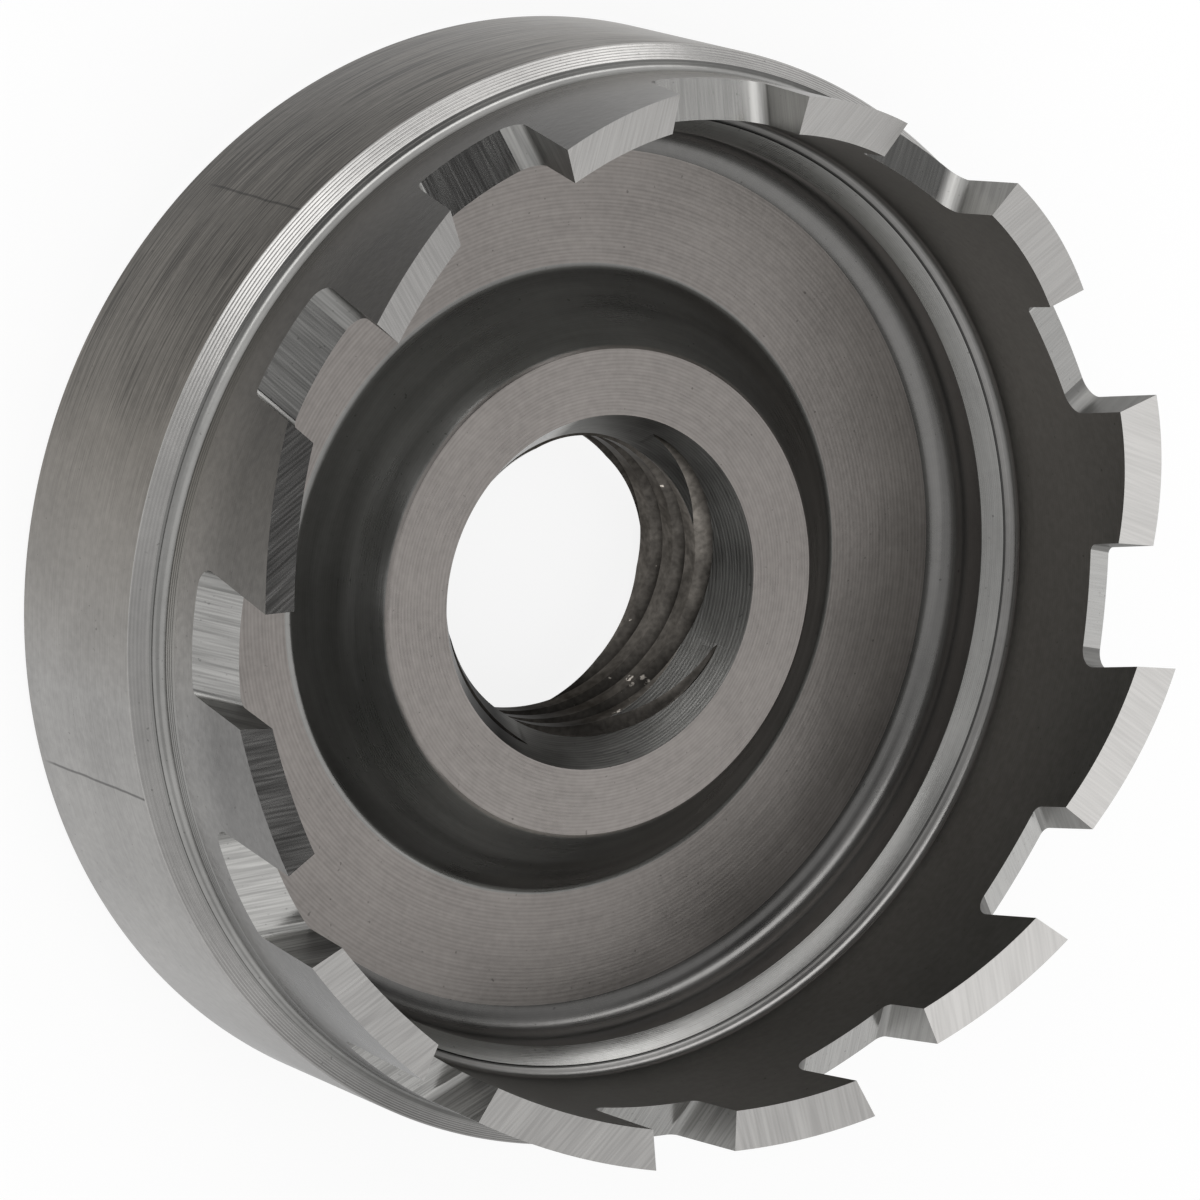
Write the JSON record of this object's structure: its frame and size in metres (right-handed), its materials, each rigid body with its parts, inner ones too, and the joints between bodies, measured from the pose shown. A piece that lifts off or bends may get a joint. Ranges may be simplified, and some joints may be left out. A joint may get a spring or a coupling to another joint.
{
  "type": "annular cutter",
  "caption": "Round steel annular cutter: a low cup with raked teeth round its rim and a central hub with a countersunk, threaded bore.",
  "frame": {"origin": "centre of the flat back face, on the cutting axis", "axes": "+Z along the cutting axis from the back face towards the teeth; +X through the first tooth's cutting edge"},
  "size_m": [0.0506, 0.0506, 0.0197],
  "materials": {
    "turned_steel": "turned, milled and ground bare steel, satin"
  },
  "bodies": {
    "root": {"cutter": "turned_steel"}
  },
  "joints": []
}
